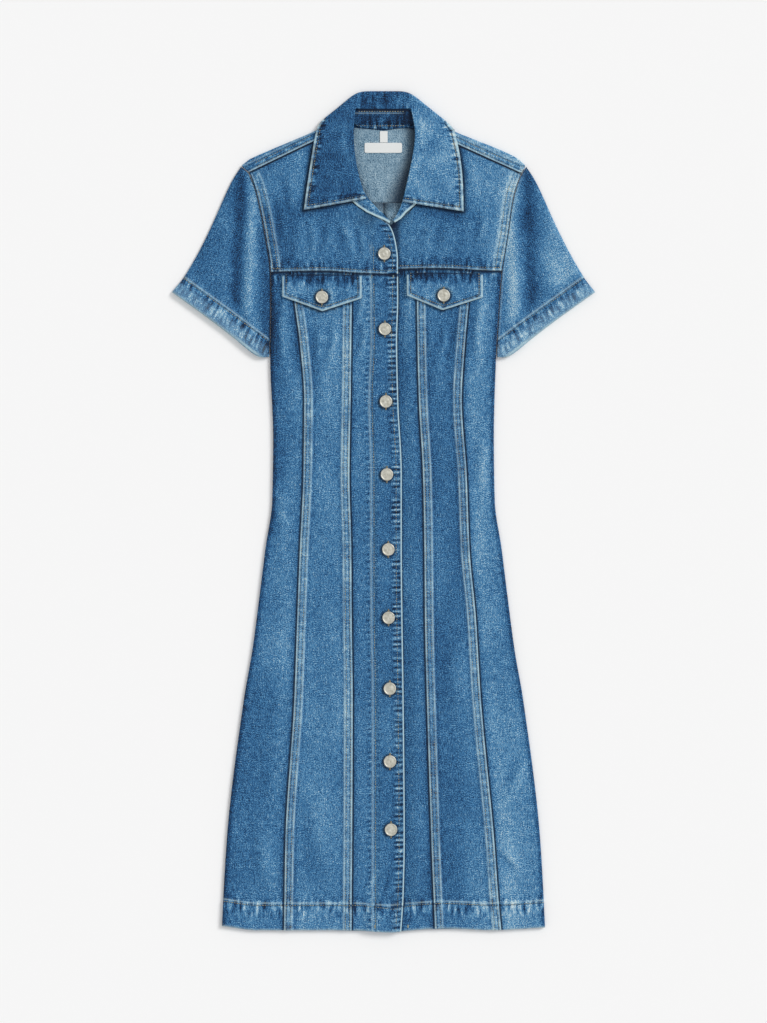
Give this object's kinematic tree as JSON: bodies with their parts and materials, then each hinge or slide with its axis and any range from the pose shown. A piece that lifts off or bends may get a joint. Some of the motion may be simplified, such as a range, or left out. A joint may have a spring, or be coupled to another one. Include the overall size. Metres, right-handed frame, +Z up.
{
  "type": "shirt dress",
  "caption": "Short-sleeved denim shirt dress with a pointed collar, flap pockets and a buttoned front, laid flat on its back.",
  "frame": {"origin": "on the surface that the dress lies on, under the middle of its outline", "axes": "+X to the viewer's right across the front, +Y up the garment from hem to collar, +Z up out of the surface"},
  "size_m": [0.5752, 1.1427, 0.012],
  "materials": {
    "denim": "washed mid-blue twill, worn pale along the seams",
    "denim_dark": "washed blue twill, less faded",
    "woven_tape": "plain off-white woven tape",
    "button_metal": "satin, pale plated metal"
  },
  "bodies": {
    "root": {"front_centre_left": "denim", "front_centre_right": "denim", "front_middle_left": "denim", "front_middle_right": "denim", "front_side_left": "denim", "front_side_right": "denim", "front_yoke_left": "denim", "front_yoke_right": "denim", "back_yoke": "denim", "back_centre_left": "denim", "back_centre_right": "denim", "back_side_left": "denim", "back_side_right": "denim", "sleeve_left": "denim", "sleeve_right": "denim", "pocket_flap_left": "denim", "pocket_flap_right": "denim", "collar": "denim_dark", "collar_stand": "denim_dark", "button_1": "button_metal", "button_2": "button_metal", "button_3": "button_metal", "button_4": "button_metal", "button_5": "button_metal", "button_6": "button_metal", "button_7": "button_metal", "button_8": "button_metal", "button_9": "button_metal", "flap_button_left": "button_metal", "flap_button_right": "button_metal", "neck_label": "woven_tape", "hanger_loop": "woven_tape"}
  },
  "joints": []
}
